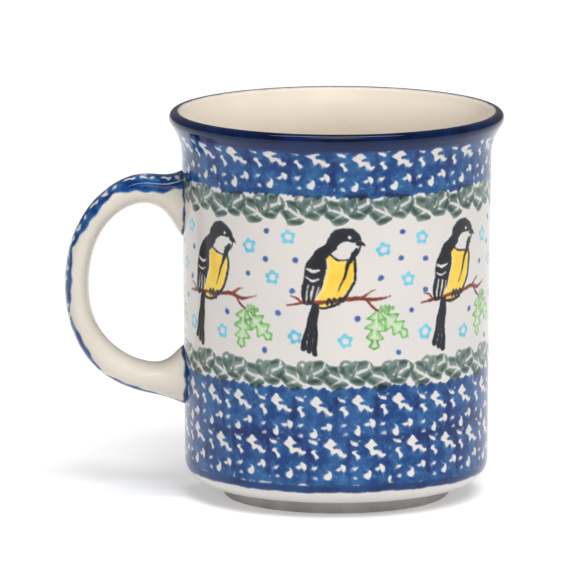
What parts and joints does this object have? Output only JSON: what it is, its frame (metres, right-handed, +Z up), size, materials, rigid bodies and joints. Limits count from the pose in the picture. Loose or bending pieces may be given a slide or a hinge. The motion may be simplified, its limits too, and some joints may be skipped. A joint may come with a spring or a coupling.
{
  "type": "stoneware mug",
  "caption": "Straight-walled stoneware mug with a flared lip, an arched strap handle, a recessed foot ring and a painted, glazed surface.",
  "frame": {"origin": "on the cup's axis, in the plane that the foot ring stands on", "axes": "+Z up along the cup's axis, handle on the -X side, +Y across the handle"},
  "size_m": [0.1191, 0.0908, 0.1053],
  "materials": {
    "fired_clay": "matt, dense grey-beige stoneware",
    "slip": "matt, fired joining slip",
    "inner_glaze": "glossy warm cream",
    "cobalt_glaze": "glossy dark cobalt",
    "painted_glaze": "clear gloss over painted and sponged underglaze colours on white",
    "handle_glaze": "clear gloss over sponged blue on warm white",
    "clear_glaze": "clear gloss on off-white"
  },
  "bodies": {
    "root": {"cup_body": "fired_clay", "handle": "fired_clay", "upper_slip_joint": "slip", "lower_slip_joint": "slip", "inner_glaze": "inner_glaze", "rim_glaze": "cobalt_glaze", "outer_glaze": "painted_glaze", "handle_glaze": "handle_glaze", "base_glaze": "clear_glaze"}
  },
  "joints": []
}
